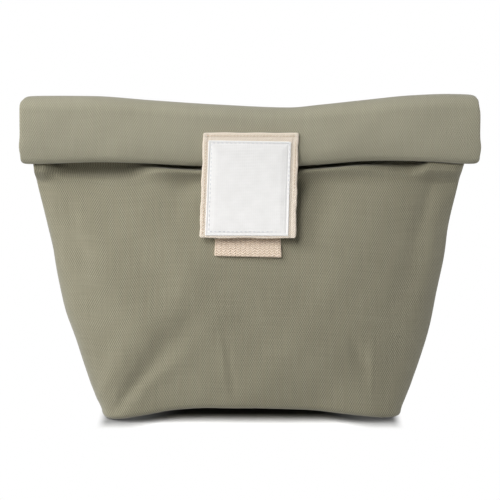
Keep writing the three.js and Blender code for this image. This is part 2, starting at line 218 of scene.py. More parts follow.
def body_wall(facing, inset, z):
    """A face of the worn bag's wall: the plain section, moved. Creases and unevenness go along the outward
    direction, seams are drawn in at the sides, and the front edge of the foot is lifted."""
    grid = body_face(facing, inset, z)
    x, y, z = np.moveaxis(grid, -1, 0)
    if facing < 0:
        out = sum(crease(x, z, *fold) for fold in FRONT_FOLDS)
        calm = 1 - np.exp(-(((x + 1) / 34) ** 4) - ((z - 122) / 36) ** 4)
    else:
        out = crease(x, z, 70, 6, 40, 70, 6, -1.8) + crease(x, z, -74, 8, -60, 90, 7, -1.6)
        calm = 1
    out = out + uneven(x, z) * calm
    seam = np.exp(-(((y - PITCH / 2) / 6) ** 4))
    out = out * (1 - 0.8 * seam) * smooth(-z, -NECK_Z + 1, -NECK_Z + 8) * smooth(z, -4, 8)
    move = out[..., None] * outward(grid, facing)
    if facing < 0:
        new_y, new_z = under_roll(x, y + move[..., 1], z, inset)
        move[..., 1], move[..., 2] = new_y - y, move[..., 2] + new_z - z
    width, depth, square, shift = body_sizes(z[:, 0])
    near = (y - shift[:, None]) / (0.4 * depth[:, None])
    drawn_in = side_tuck(z) * np.exp(-(near**2)) + 0.8 * np.exp(-(((y - shift[:, None]) / 1.1) ** 2))
    move[..., 0] -= np.sign(x) * drawn_in * smooth(np.abs(x), 30, 80)
    move[..., 0] -= 1.3 * smooth(z, 30, 100) * smooth(-z, -NECK_Z, -140)
    move[..., 0] += 2.2 * smooth(x, 60, 88) * smooth(z, -0.3, 1.5) * smooth(-z, -24, -4)
    lift = foot_lift(x, y) * np.clip(1 - z / 42, 0, 1) ** 2
    move[..., 1] += 0.45 * lift
    move[..., 2] += lift
    return grid + move


def cloth_lengths(grid):
    """Where each point lies on the flat cloth, in millimetres: the length across the cloth from its
    middle column, and the length along it from its first row."""
    across = np.linalg.norm(np.diff(grid, axis=1, prepend=grid[:, :1]), axis=-1).cumsum(axis=1)
    along = np.linalg.norm(np.diff(grid, axis=0, prepend=grid[:1]), axis=-1).cumsum(axis=0)
    middle = grid.shape[1] // 2
    return np.stack([across - across[:, middle : middle + 1], along], axis=-1)


def sheet_piece(name, outer, inner, finish):
    """A closed sheet between two grids of points, with both faces and the edge round them. Its UV map is
    the place on the flat cloth in millimetres."""
    rows, columns = outer.shape[:2]
    count = rows * columns
    points = np.concatenate([outer.reshape(-1, 3), inner.reshape(-1, 3)]) / 1000
    near = np.arange(count).reshape(rows, columns)
    far = near + count
    ring = np.concatenate([near[0], near[1:, -1], near[-1, -2::-1], near[-2:0:-1, 0]])
    following = np.roll(ring, -1)
    faces = np.concatenate([
        np.stack([near[:-1, :-1], near[:-1, 1:], near[1:, 1:], near[1:, :-1]], -1).reshape(-1, 4),
        np.stack([far[:-1, :-1], far[1:, :-1], far[1:, 1:], far[:-1, 1:]], -1).reshape(-1, 4),
        np.stack([following, ring, ring + count, following + count], -1),
    ])
    a, b, c, d = (points[faces[:, k]] for k in range(4))
    volume = np.einsum("ij,ij->", a, np.cross(b, c)) + np.einsum("ij,ij->", a, np.cross(c, d))
    if volume < 0:
        faces = faces[:, ::-1]
    mesh = bpy.data.meshes.new(name)
    mesh.from_pydata(points.tolist(), [], faces.tolist())
    flat = np.tile(cloth_lengths(outer).reshape(-1, 2), (2, 1))
    mesh.uv_layers.new(name="cloth").data.foreach_set("uv", flat[faces.ravel()].ravel())
    is_face = np.arange(len(faces)) < len(faces) - len(ring)
    mesh.polygons.foreach_set("use_smooth", is_face)
    mesh.materials.append(finish)
    made = bpy.data.objects.new(name, mesh)
    bpy.context.scene.collection.objects.link(made)
    return made


def linear(code):
    """A colour written as an sRGB hex code, turned to the linear values that shaders use."""
    v = np.array([int(code[k : k + 2], 16) for k in (1, 3, 5)]) / 255
    return (*np.where(v <= 0.04045, v / 12.92, ((v + 0.055) / 1.055) ** 2.4), 1.0)


def add(tree, kind, inputs=None, **settings):
    """Adds one node, makes its settings, and fills each named or numbered input with a value or a link."""
    made = tree.nodes.new(kind)
    for key, value in settings.items():
        setattr(made, key, value)
    for key, value in (inputs or {}).items():
        if isinstance(value, bpy.types.NodeSocket):
            tree.links.new(value, made.inputs[key])
        else:
            made.inputs[key].default_value = value
    return made


def fabric(name, roughness, sheen, weave):
    """A cloth material. weave(tree, u, v, place) gives the colour and height sockets for a place on the
    flat cloth in millimetres. The height is in tenths of a millimetre."""
    made = bpy.data.materials.new(name)
    made.use_nodes = True
    tree = made.node_tree
    shader = tree.nodes["Principled BSDF"]
    place = add(tree, "ShaderNodeUVMap", uv_map="cloth")
    u, v, _ = add(tree, "ShaderNodeSeparateXYZ", {0: place.outputs[0]}).outputs
    colour, height = weave(tree, u, v, place.outputs[0])
    bump = add(tree, "ShaderNodeBump", {"Strength": 0.55, "Distance": 0.0001, "Height": height})
    tree.links.new(colour, shader.inputs["Base Color"])
    tree.links.new(bump.outputs[0], shader.inputs["Normal"])
    shader.inputs["Roughness"].default_value = roughness
    shader.inputs["Specular IOR Level"].default_value = 0.25
    shader.inputs["Sheen Weight"].default_value = sheen
    shader.inputs["Sheen Roughness"].default_value = 0.5
    return made


def calc(tree, operation, a, b=0.0):
    """One step of arithmetic on two numbers or sockets."""
    return add(tree, "ShaderNodeMath", {0: a, 1: b}, operation=operation).outputs[0]


def checker_weave(dark, light, painted_light, warp_pitch, weft_pitch):
    """Plain weave: sin(pi u / warp pitch) times sin(pi v / weft pitch) is high where a warp thread is on
    top and low where a weft thread is, with thick and thin threads and slow shading over it. Where a
    point's share of painted light is set, the colour is mixed towards a paler one: painted light."""
    def weave(tree, u, v, place):
        warp = calc(tree, "SINE", calc(tree, "MULTIPLY", u, np.pi / warp_pitch))
        weft = calc(tree, "SINE", calc(tree, "MULTIPLY", v, np.pi / weft_pitch))
        cross = calc(tree, "MULTIPLY", warp, weft)
        long_threads = add(tree, "ShaderNodeMapping", {0: place, 3: (1.1, 0.035, 1)})
        wide_threads = add(tree, "ShaderNodeMapping", {0: place, 3: (0.035, 1.1, 1)})
        slubs = [add(tree, "ShaderNodeTexNoise", {"Vector": lay.outputs[0], "Scale": 1.0, "Detail": 2.0})
                 for lay in (long_threads, wide_threads)]
        slow = add(tree, "ShaderNodeTexNoise", {"Vector": place, "Scale": 0.025, "Detail": 3.0})
        threads = calc(tree, "ADD", slubs[0].outputs[0], slubs[1].outputs[0])
        tone = calc(tree, "ADD", calc(tree, "MULTIPLY", cross, 0.56), calc(tree, "MULTIPLY", threads, 0.3))
        tone = calc(tree, "ADD", tone, calc(tree, "MULTIPLY", slow.outputs[0], 0.3))
        colour = add(tree, "ShaderNodeMix", {"Factor": calc(tree, "ADD", tone, 0.05), 6: linear(dark),
                                             7: linear(light)}, data_type="RGBA", clamp_factor=False)
        painted_light_share = add(tree, "ShaderNodeAttribute", attribute_name="painted_light")
        paler = add(tree, "ShaderNodeMix", {"Factor": painted_light_share.outputs["Fac"], 6: colour.outputs[2],
                                            7: linear(painted_light)}, data_type="RGBA")
        return paler.outputs[2], calc(tree, "ADD", cross, calc(tree, "MULTIPLY", threads, 0.8))
    return weave


# Khaki cotton canvas, plain woven and piece dyed: dead matt, with a faint mesh of threads and a soft
# pale bloom at grazing angles. The real threads are about 0.5 mm, drawn 0.7 and 1.2 mm so that they show.
WARP_PITCH, WEFT_PITCH = 0.68, 1.2
# The third colour is the canvas painted paler where the roll is lit more: painted light.
canvas = fabric("plain_woven_cotton_canvas", 0.95, 0.35,
                checker_weave("#746F5C", "#A39F89", "#CAC7B2", WARP_PITCH, WEFT_PITCH))

ACROSS = np.linspace(0, 1, 241)
ACROSS = ACROSS - 0.86 * np.sin(2 * np.pi * ACROSS) / (2 * np.pi)
BODY_Z = np.concatenate([[0, 0.7, 1.7, 3.0, 4.6, 6.4], np.linspace(8.4, 136, 60),
                         np.linspace(137, LAST_ROW_Z, 23)])

front = sheet_piece("front_canvas", body_wall(-1, 0, BODY_Z), body_wall(-1, CANVAS, BODY_Z), canvas)
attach(front, "bag_body")
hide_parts("outer_front_panel")


# Back of the body and the roll's outer face: the same canvas, in one length from the base up the back,
# over the top fold and down the front of the roll, to the middle of its lower fold.
TOP_ARC = np.pi * PITCH
TURN = 27.2
LOW_ARC = np.pi * PITCH / 2
NECK = NECK_TOP_Z - NECK_Z
LIP = 14.5


def top_line(x):
    """Height of the upper fold line across the roll: lowest right of the middle, the right end highest."""
    right_end = 186.7
    return right_end + through([(-140, -1), (-96, -1.4), (-60, -4), (-20, -6.6), (24, -8.4), (44, -6.6),
                                (72, -3.6), (98, -1), (122, 0), (140, 0)], x)


def roll_path(x, s):
    """The middle of the rolled bundle at a distance s along it from the upper fold line: up the neck,
    over a half circle, down the front, under a smaller half circle and up the lip. Gives y, z and the
    direction of the back layers there."""
    theta = np.clip(s / PITCH, 0, np.pi)
    turn = np.clip((s - TOP_ARC) / TURN, 0, 1)
    phi = np.clip((s - TOP_ARC - TURN) / (PITCH / 2), 0, np.pi)
    lip = np.clip(s - TOP_ARC - TURN - LOW_ARC, 0, None)
    top, low = top_line(x), low_line(x)
    y = PITCH * np.cos(theta) + PITCH / 2 * (1 - np.cos(phi))
    z = (top + np.clip(s / NECK, -1, 0) * (top - NECK_Z) + PITCH * np.sin(theta)
         - (top - low) * turn - PITCH / 2 * np.sin(phi) + lip)
    return y, z, np.cos(theta + phi), np.sin(theta + phi)


def swell(s):
    """How far the roll's outer turn stands out in front, at a distance along the path: most a little
    above its lower fold. Just before the lowest point the cloth turns straight back under the roll."""
    return through([(-1, 0), (7, 0), (12, 0.9), (18, 2.1), (26, 3.3), (34, 4.1), (39, 4.3), (44, 3.9),
                    (47.4, 3.4), (48.37, 2.98), (48.75, 0), (60, 0)], s)


def roll_move(x, s):
    """How the whole bundle is pushed about: its lower front hangs out, the cloth is a little uneven, its
    corners are rounded, and its ends are ragged by a millimetre."""
    theta = np.clip(s / PITCH, 0, np.pi)
    phi = np.clip((s - TOP_ARC - TURN) / (PITCH / 2), 0, np.pi)
    in_roll = smooth(s, -24, 0)
    off_tab = 1 - np.exp(-(((x + 1) / 36) ** 6)) * smooth(s, 12, 22)
    calm = 1 - np.exp(-(((s - TOP_ARC / 2) / 5) ** 2))
    wave = 0.5 * uneven(1.3 * x, 1.8 * s + 40) * in_roll * calm * smooth(-s, -48.5, -40) * off_tab
    end = smooth(np.abs(x), 122, 140)
    left_end = 0.7 * np.exp(-(((s - 38) / 4) ** 2))
    right_end = 0.8 * np.exp(-(((s - 39) / 4) ** 2)) - 0.9 * np.exp(-(((s - 15) / 3) ** 2))
    ragged = end * in_roll * np.where(x < 0, left_end, right_end)
    corner = 3.4 * end * (np.sin(theta) ** 5 + 0.5 * np.sin(phi) ** 4)
    return np.stack([np.sign(x) * (ragged - corner), -swell(s) - wave, 0 * x + 0 * s], axis=-1)


def roll_face(facing, inset, s):
    """A face of one layer of the bundle, on its back side (1) or front side (-1), that deep inside the
    outer face, along the roll's path."""
    z = NECK_TOP_Z + np.clip(s, -NECK, 0)
    width, depth, square, _ = body_sizes(z)
    x, d = even_section(width - inset, BUNDLE_HALF - inset, square, ACROSS)
    d = facing * (SEAM_GAP + d * (1 - SEAM_GAP / (BUNDLE_HALF - inset)))
    y, z, ny, nz = roll_path(x, s[:, None])
    return np.stack([x, y + d * ny, z + d * nz], axis=-1) + roll_move(x, s[:, None])


UNDER = TOP_ARC + TURN + 0.45 * LOW_ARC
TOP_S = TOP_ARC * np.linspace(0, 1, 24)
ROLL_S = np.concatenate([np.linspace(-NECK, 0, 13)[:-1], TOP_S, np.linspace(TOP_ARC, TOP_ARC + TURN, 15)[1:],
                         np.linspace(TOP_ARC + TURN, UNDER, 6)[1:]])


def mark_painted_light(piece, share):
    """Stores for each point how far the cloth is painted paler as painted light, given per row of the sheet.
    """
    values = np.tile(np.repeat(share, len(ACROSS)), 2)
    piece.data.attributes.new("painted_light", "FLOAT", "POINT").data.foreach_set("value", values)


def whole_back(inset):
    """The back layer at that depth, from the base to under the roll."""
    return np.concatenate([body_wall(1, inset, BODY_Z), roll_face(1, inset, ROLL_S)])


back = sheet_piece("back_canvas", whole_back(0), whole_back(CANVAS), canvas)
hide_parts("outer_back_panel", "neck_back_canvas", "top_fold_back_canvas", "outer_turn_back_canvas")
# Painted light: the roll's part of the back canvas is painted up to about a quarter paler; the body's part is
# not.
mark_painted_light(back, 0.24 * np.concatenate([0 * BODY_Z, smooth(ROLL_S, 2, 14)]))
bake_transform(back)


# Front of the neck and the inner canvas of the roll: the front panel's upper end, which lies inside the
# back panel over the top fold and down the outer turn.
inner_canvas = sheet_piece("front_canvas_in_roll", roll_face(-1, 0, ROLL_S), roll_face(-1, CANVAS, ROLL_S),
                           canvas)
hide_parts("neck_front_canvas", "top_fold_front_canvas", "outer_turn_front_canvas")
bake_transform(inner_canvas)


# Base: the boxed bottom of the bag, a rounded rectangle of the same canvas. Its front edge stands a
# little off the floor between the corners, where nothing inside presses it down.
def base_face(inset, level):
    """The base inside the walls: straight lines from the front of the section to its back, as high as
    the foot is lifted."""
    width, depth, square, _ = body_sizes(np.array([0.0]))
    edge = inset + 0.3
    x, d = even_section(width - edge, depth - edge, square, ACROSS[::2])
    v = np.linspace(-1, 1, 61)[:, None]
    y = v * (SEAM_GAP + d)
    x = np.broadcast_to(x, y.shape)
    lift = foot_lift(x, y)
    return np.stack([x, y + 0.45 * lift, level + lift], axis=-1)


base = sheet_piece("base_canvas", base_face(CANVAS, 0.0), base_face(CANVAS, CANVAS), canvas)
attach(base, "bag_body")
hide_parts("outer_base_panel")


# Insulated lining: foil-faced foam laminate, one wall inside the canvas from base to mouth. It is sewn
# in with the side seams and shows only at the open mouth.
LINING_INSET = 1.1
LINING = 1.2


def foil_face(tree, u, v, place):
    """Laminated foil: a fine pressed lozenge grid, sin((u+v) k) times sin((u-v) k), over soft crinkles."""
    lozenge_pitch = 3.2
    k = np.pi / lozenge_pitch
    diagonal = calc(tree, "SINE", calc(tree, "MULTIPLY", calc(tree, "ADD", u, v), k))
    other = calc(tree, "SINE", calc(tree, "MULTIPLY", calc(tree, "SUBTRACT", u, v), k))
    crinkle = add(tree, "ShaderNodeTexNoise", {"Vector": place, "Scale": 0.12, "Detail": 5.0})
    lozenge = calc(tree, "ABSOLUTE", calc(tree, "MULTIPLY", diagonal, other))
    height = calc(tree, "ADD", lozenge, calc(tree, "MULTIPLY", crinkle.outputs[0], 3.0))
    colour = add(tree, "ShaderNodeMix", {"Factor": crinkle.outputs[0], 6: linear("#AEB2B5"),
                                         7: linear("#DADDDF")}, data_type="RGBA")
    return colour.outputs[2], height


# Aluminised film on foam: a dull silver sheen, broken by the pressed grid and by crinkles.
foil = fabric("aluminised_foam_lining", 0.38, 0.0, foil_face)
foil.node_tree.nodes["Principled BSDF"].inputs["Metallic"].default_value = 0.6

for side, facing in (("front", -1), ("back", 1)):
    wall = sheet_piece(f"{side}_lining", body_wall(facing, LINING_INSET, BODY_Z)[::2],
                       body_wall(facing, LINING_INSET + LINING, BODY_Z)[::2], foil)
    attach(wall, "bag_body")
    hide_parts(f"lining_{side}")
    rolled = sheet_piece(f"{side}_lining_in_roll", roll_face(facing, LINING_INSET, ROLL_S),
                         roll_face(facing, LINING_INSET + LINING, ROLL_S), foil)
    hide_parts(f"neck_{side}_lining", f"top_fold_{side}_lining", f"outer_turn_{side}_lining")
    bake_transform(rolled)

lining_floor = sheet_piece("base_lining", base_face(LINING_INSET + LINING, LINING_INSET),
                           base_face(LINING_INSET + LINING, LINING_INSET + LINING), foil)
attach(lining_floor, "bag_body")
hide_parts("lining_base")


# Lower fold and lip: the last stretch of all four layers, canvas and lining, under the roll and up inside
# it. It is the same cloth as above, cut off here as pieces of its own.
LIP_S = np.concatenate([np.linspace(UNDER, TOP_ARC + TURN + LOW_ARC, 12),
                        TOP_ARC + TURN + LOW_ARC + np.linspace(0, LIP - 4.3, 6)[1:]])
for layer, facing, inset, thickness, cloth, slot in (
        ("back_canvas", 1, 0, CANVAS, canvas, "canvas"),
        ("back_lining", 1, LINING_INSET, LINING, foil, "foil_lining"),
        ("front_lining", -1, LINING_INSET, LINING, foil, "foil_lining"),
        ("front_canvas", -1, 0, CANVAS, canvas, "canvas")):
    lip = sheet_piece(f"{layer}_at_mouth", roll_face(facing, inset, LIP_S),
                      roll_face(facing, inset + thickness, LIP_S), cloth)
    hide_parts(f"bottom_fold_{layer}", f"inner_lip_{layer}")
    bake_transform(lip)


# Mouth hems: canvas and lining are turned in together and held by one row of khaki sewing thread, with one
# hem on each side of the mouth. Each is a soft roll 4 mm high.
def stitch_row(name, places, forward, out, length, girth, finish, slot):
    """Separate stitches of thread: small spindles at the given places, each lying along its forward
    direction on a surface that faces out."""
    turn, rise = np.meshgrid(np.linspace(0, 2 * np.pi, 7)[:-1], np.linspace(-1, 1, 5)[1:-1])
    body = np.stack([rise.ravel(), np.sqrt(1 - rise.ravel() ** 4) * np.cos(turn.ravel()),
                     np.sqrt(1 - rise.ravel() ** 4) * np.sin(turn.ravel())], axis=-1)
    local = np.concatenate([body, [[-1, 0, 0], [1, 0, 0]]])
    side = np.cross(out, forward)
    points = (places[:, None, :] + length / 2 * local[None, :, :1] * forward[:, None, :]
              + girth / 2 * (local[None, :, 1:2] * side[:, None, :] + local[None, :, 2:] * out[:, None, :]))
    k = np.arange(6)
    following = (k + 1) % 6
    sides = [[a + ring, b + ring, b + ring + 6, a + ring + 6]
             for ring in (0, 6) for a, b in zip(k, following)]
    caps = [[18, b, a] for a, b in zip(k, following)] + [[19, a + 12, b + 12] for a, b in zip(k, following)]
    faces = [[v + 20 * j for v in face] for j in range(len(places)) for face in sides + caps]
    mesh = bpy.data.meshes.new(name)
    mesh.from_pydata((points.reshape(-1, 3) / 1000).tolist(), [], faces)
    mesh.uv_layers.new(name="cloth")
    mesh.shade_smooth()
    mesh.materials.append(finish)
    made = bpy.data.objects.new(name, mesh)
    bpy.context.scene.collection.objects.link(made)
    return made


def thread(name, code):
    """Spun polyester sewing thread: one colour with a slight sheen."""
    made = bpy.data.materials.new(name)
    made.use_nodes = True
    tree = made.node_tree
    place = add(tree, "ShaderNodeTexCoord").outputs["Object"]
    twist = add(tree, "ShaderNodeTexNoise", {"Vector": place, "Scale": 1600.0})
    light = np.minimum(np.array(linear(code)) * 1.12, 1.0)
    mix = add(tree, "ShaderNodeMix", {"Factor": twist.outputs[0], 6: linear(code), 7: tuple(light)},
              data_type="RGBA")
    shader = tree.nodes["Principled BSDF"]
    tree.links.new(mix.outputs[2], shader.inputs["Base Color"])
    shader.inputs["Roughness"].default_value = 0.6
    shader.inputs["Sheen Weight"].default_value = 0.2
    return made


# Khaki polyester thread: about the canvas's own colour, slightly mottled, with a slight sheen.
khaki_thread = thread("khaki_sewing_thread", "#8E8974")
HEM_HALF, HEM_HALF_HEIGHT, HEM_MIDDLE = 1.15, 1.98, LIP - 2
for side, facing in (("front", -1), ("back", 1)):
    t = np.linspace(-1, 1, 13)[:, None]
    x = np.linspace(-140, 140, 121)[None, :] + 0 * t
    half = HEM_HALF * (1 - np.abs(t) ** 5) ** 0.2 + 0.02
    middle = facing * (0.2 + HEM_HALF)
    z = low_line(x) + HEM_MIDDLE + HEM_HALF_HEIGHT * t
    outer_side = np.stack([x, middle + facing * half + 0 * x, z], axis=-1)
    inner_side = np.stack([x, middle - facing * half + 0 * x, z], axis=-1)
    hem = sheet_piece(f"mouth_hem_{side}_canvas", outer_side, inner_side, canvas)
    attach(hem, "roll_inner_lip")
    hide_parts(f"mouth_hem_{side}")
    along = np.arange(-137, 138, 3.2)
    stitch_z = low_line(along) + HEM_MIDDLE - 0.8
    places = np.stack([along, 0 * along + middle + facing * HEM_HALF, stitch_z], axis=-1)
    row = stitch_row(f"mouth_hem_{side}_stitches", places, np.tile([1.0, 0, 0], (len(along), 1)),
                     np.tile([0, float(facing), 0], (len(along), 1)), 2.4, 0.35, khaki_thread, "canvas")
    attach(row, "roll_inner_lip")


# Webbing: a strip of 40 mm cream cotton webbing, sewn flat to the front under the tab, with its lower
# end turned under. It is woven in a herringbone, so its ribs run in fine chevrons.
WEBBING_HALF, WEBBING_TOP, WEBBING_BOTTOM = 19.6, 139.0, 99.8


def front_y(x, z):
    """The outer face of the front canvas near its middle: the shift less the section's depth there."""
    width, depth, square, shift = body_sizes(z)
    return shift - depth * (1 - np.abs(x / width) ** square) ** (1 / square)


def chevron_weave(tree, u, v, place):
    """Herringbone: slanting ribs sin(2 pi (v / rib + column / 2)), where column runs up and down between 0
    and the column's width, so that the ribs turn back at each column."""
    column_width, rib_pitch = 1.45, 1.6
    column = calc(tree, "PINGPONG", u, column_width)
    slant = calc(tree, "ADD", calc(tree, "DIVIDE", v, rib_pitch), calc(tree, "MULTIPLY", column, 0.5))
    rib = calc(tree, "SINE", calc(tree, "MULTIPLY", slant, 2 * np.pi))
    valley = calc(tree, "POWER", calc(tree, "DIVIDE", column, column_width), 4.0)
    lint = add(tree, "ShaderNodeTexNoise", {"Vector": place, "Scale": 0.7, "Detail": 4.0})
    height = calc(tree, "SUBTRACT", rib, calc(tree, "MULTIPLY", valley, 0.8))
    tone = calc(tree, "ADD", calc(tree, "MULTIPLY", height, 0.4), lint.outputs[0])
    colour = add(tree, "ShaderNodeMix", {"Factor": tone, 6: linear("#D2BBA2"), 7: linear("#FFEEDC")},
                 data_type="RGBA")
    return colour.outputs[2], calc(tree, "MULTIPLY", height, 2.8)


# Unbleached cotton webbing: warm cream, matt, with raised chevron ribs that catch the light.
webbing_cloth = fabric("herringbone_cotton_webbing", 0.9, 0.2, chevron_weave)


def rounded_strip(half_width, top, bottom, thickness, round_edge, columns, rows, corner=0.6):
    """A grid for a strip: x and z with rounded corners, and the share of the thickness, which falls off
    in a quarter circle at the edges."""
    u = np.sin(np.linspace(-1, 1, columns) * np.pi / 2)[None, :]
    even = np.linspace(0, 1, rows)[:, None]
    v = (0.5 - 0.5 * np.cos(even * np.pi)) * 0.35 + even * 0.65
    z = top + (bottom - top) * v + 0 * u
    to_end = np.minimum(top - z, z - bottom)
    half = half_width - corner * (1 - np.sqrt(1 - np.clip(1 - to_end / corner, 0, 1) ** 2))
    x = half * u
    to_edge = np.minimum(to_end, half - np.abs(x))
    full = np.sqrt(1 - np.clip(1 - to_edge / round_edge, 0, 1) ** 2)
    return x, z, thickness * (0.25 + 0.75 * full)


WEBBING_CLOTH = 1.2
x, z, thick = rounded_strip(WEBBING_HALF, WEBBING_TOP, WEBBING_BOTTOM, WEBBING_CLOTH, 0.7, 61, 61)
splay = x * (1 + 0.035 * smooth(-z, -114, -99)) - 1.2
turned = 0.9 * smooth(-z, -107.5, -105)
z = z - 0.022 * x * smooth(-z, -120, -100)
webbing_y = front_y(x, z) - 0.3
webbing = sheet_piece("front_webbing_strip", np.stack([splay, webbing_y - thick - turned, z], axis=-1),
                      np.stack([splay, webbing_y, z], axis=-1), webbing_cloth)
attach(webbing, "bag_body")
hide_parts("front_webbing")


# Closure: a short tape with a pile of loops, sewn to the webbing behind the tab. Its partner with hooks
# is sewn to the back of the tab.
def pile(tree, u, v, place):
    """Tape with a pile: round tufts in a grid, each cell's distance from its own point."""
    tufts = add(tree, "ShaderNodeTexVoronoi", {"Vector": place, "Scale": 1.3})
    colour = add(tree, "ShaderNodeMix", {"Factor": tufts.outputs[0], 6: linear("#E2D8C6"),
                                         7: linear("#B9AE9A")}, data_type="RGBA")
    return colour.outputs[2], calc(tree, "MULTIPLY", tufts.outputs[0], -2.5)


# Nylon hook-and-loop tape: a low pile of hooks or loops that breaks the light into fine grains.
tape_cloth = fabric("nylon_hook_and_loop_tape", 0.7, 0.3, pile)
TAPE_HALF, TAPE_BOTTOM, TAPE_CLOTH, LOOP_TOP, HOOK_TOP = 19.0, 114.0, 1.2, 134.0, 132.0
x, z, thick = rounded_strip(TAPE_HALF, LOOP_TOP, TAPE_BOTTOM, TAPE_CLOTH, 0.5, 31, 25, corner=1.5)
y = front_y(x, z) - 1.8
loop_tape = sheet_piece("loop_tape_on_webbing", np.stack([x - 1.0, y - thick, z], axis=-1),
                        np.stack([x - 1.0, y, z], axis=-1), tape_cloth)
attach(loop_tape, "bag_body")
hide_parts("loop_tape")


# Tab: a doubled piece of cream cotton twill with its side edges turned in, sewn along its top to the
# roll. It hangs over the front and leans out to the tapes.
TAB_TOP, TAB_BOTTOM, TAB_HALF = 172.4, 111.0, 29.1
TAB_CLOTH = 1.6


def twill_weave(tree, u, v, place):
    """Twill: ribs sin(2 pi (u + v) / rib pitch) at 45 degrees, cut across into threads."""
    rib_pitch, thread_pitch = 1.5, 1.1
    rib = calc(tree, "SINE", calc(tree, "MULTIPLY", calc(tree, "ADD", u, v), 2 * np.pi / rib_pitch))
    cut = calc(tree, "SINE", calc(tree, "MULTIPLY", calc(tree, "SUBTRACT", u, v), 2 * np.pi / thread_pitch))
    lint = add(tree, "ShaderNodeTexNoise", {"Vector": place, "Scale": 0.6, "Detail": 4.0})
    height = calc(tree, "ADD", rib, calc(tree, "MULTIPLY", cut, 0.35))
    tone = calc(tree, "ADD", calc(tree, "MULTIPLY", height, 0.4), lint.outputs[0])
    colour = add(tree, "ShaderNodeMix", {"Factor": tone, 6: linear("#DDCDB8"), 7: linear("#FBF1E4")},
                 data_type="RGBA")
    return colour.outputs[2], calc(tree, "MULTIPLY", height, 2.0)


def hang(x, z):
    """The tab is a little askew: its lower end hangs to the left, and its right side sits lower."""
    return x + 0.7 - 0.035 * (TAB_TOP - z), z - 0.004 * x


def tab_back(z):
    """The back face of the tab: flat on the roll's front at the seam, then leaning out to the tapes."""
    return through([(108, -32.4), (114, -29.6), (120, -26.6), (132, -21.6), (148, -16.4), (160, -13.4),
                    (168, -12.1), (174, -11.3)], z)


def side_lean(x, z):
    """How far the lower right side of the tab stands forward of the rest: a bell across, rising downwards."""
    return 0.5 * np.exp(-(((x - 30) / 12) ** 2)) * smooth(-z, -150, -120)


# Cream cotton twill: warm off-white with fine slanting ribs, softer and duller than the label.
twill = fabric("cream_cotton_twill", 0.9, 0.2, twill_weave)
x, z, thick = rounded_strip(TAB_HALF, TAB_TOP, TAB_BOTTOM, TAB_CLOTH, 0.8, 101, 121, corner=1.4)
groove = 0.28 * np.exp(-(((np.abs(x) - 25.9) / 0.5) ** 2)) + 0.2 * np.exp(-(((z - 169.6) / 0.5) ** 2))
tab_x, tab_z = hang(x, z)
tab_x = tab_x + smooth(np.abs(x), 22, 29) * (0.16 * np.sin(0.33 * z + 1) + 0.08 * np.sin(0.85 * z + x))
tab_z = tab_z + smooth(-z, -116, -111) * 0.2 * np.sin(0.24 * x + 2)
tab_z = tab_z + smooth(z, 168, 172) * 0.12 * np.sin(0.3 * x)
tab_y = tab_back(z) - side_lean(x, z)
tab = sheet_piece("tab_twill", np.stack([tab_x, tab_y - thick + groove, tab_z], axis=-1),
                  np.stack([tab_x, tab_y, tab_z], axis=-1), twill)
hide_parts("tab_sewn_edge", "tab_flap")


def bend_with_tab(piece):
    """Bakes the piece's placement into its mesh."""
    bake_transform(piece)


bend_with_tab(tab)

x, z, thick = rounded_strip(TAPE_HALF, HOOK_TOP, TAPE_BOTTOM, TAPE_CLOTH, 0.5, 31, 25, corner=1.5)
tape_x, behind = hang(x, z)[0], tab_back(z) + 0.1
hook_tape = sheet_piece("hook_tape_on_tab", np.stack([tape_x, behind + thick, z], axis=-1),
                        np.stack([tape_x, behind, z], axis=-1), tape_cloth)
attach(hook_tape, "closure_tab")
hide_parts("hook_tape")

# Cream polyester thread: darker and warmer than the twill, so that the rows of stitches show on it.
cream_thread = thread("cream_sewing_thread", "#CBB090")


def tab_places(x, z, out):
    """Places and directions for stitches on the tab: on its face, out by a given distance."""
    slope = tab_back(z + 0.5) - tab_back(z - 0.5)
    facing = np.stack([0 * z, -1 + 0 * z, slope], axis=-1)
    facing /= np.linalg.norm(facing, axis=-1, keepdims=True)
    px, pz = hang(x, z)
    return np.stack([px, tab_back(z), pz], axis=-1) + out * facing, facing


def along_line(x0, z0, x1, z1, step, out):
    """Stitch places, forward directions and outward directions in a straight line on the tab."""
    count = int(np.hypot(x1 - x0, z1 - z0) / step)
    t = (np.arange(count) + 0.5) / count
    x, z = x0 + (x1 - x0) * t, z0 + (z1 - z0) * t
    places, facing = tab_places(x, z, out)
    ahead, _ = tab_places(x + 0.01 * (x1 - x0), z + 0.01 * (z1 - z0), out)
    forward = ahead - places
    forward /= np.linalg.norm(forward, axis=-1, keepdims=True)
    return places, forward, facing


top_row = stitch_row("tab_top_stitches", *along_line(-27, 170.4, 27, 170.4, 2.0, TAB_CLOTH - 0.02),
                     1.4, 0.55, cream_thread, "twill")
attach(top_row, "roll_outer_turn")
side_rows = [along_line(s * 27.2, 167.0, s * 27.2, 112.4, 2.0, TAB_CLOTH - 0.05) for s in (-1, 1)]
side_stitches = stitch_row("tab_side_stitches", *[np.concatenate(v) for v in zip(*side_rows)],
                           1.4, 0.45, cream_thread, "twill")
bend_with_tab(side_stitches)


# Label: a plain white woven label, sewn round its edge to the tab with light grey thread. The needle
# line draws it down a little all round.
LABEL_HALF, LABEL_TOP, LABEL_BOTTOM, LABEL_CLOTH = 25.1, 167.6, 112.6, 0.5
LABEL_GAP, NEEDLE_LINE = 0.06, 1.5


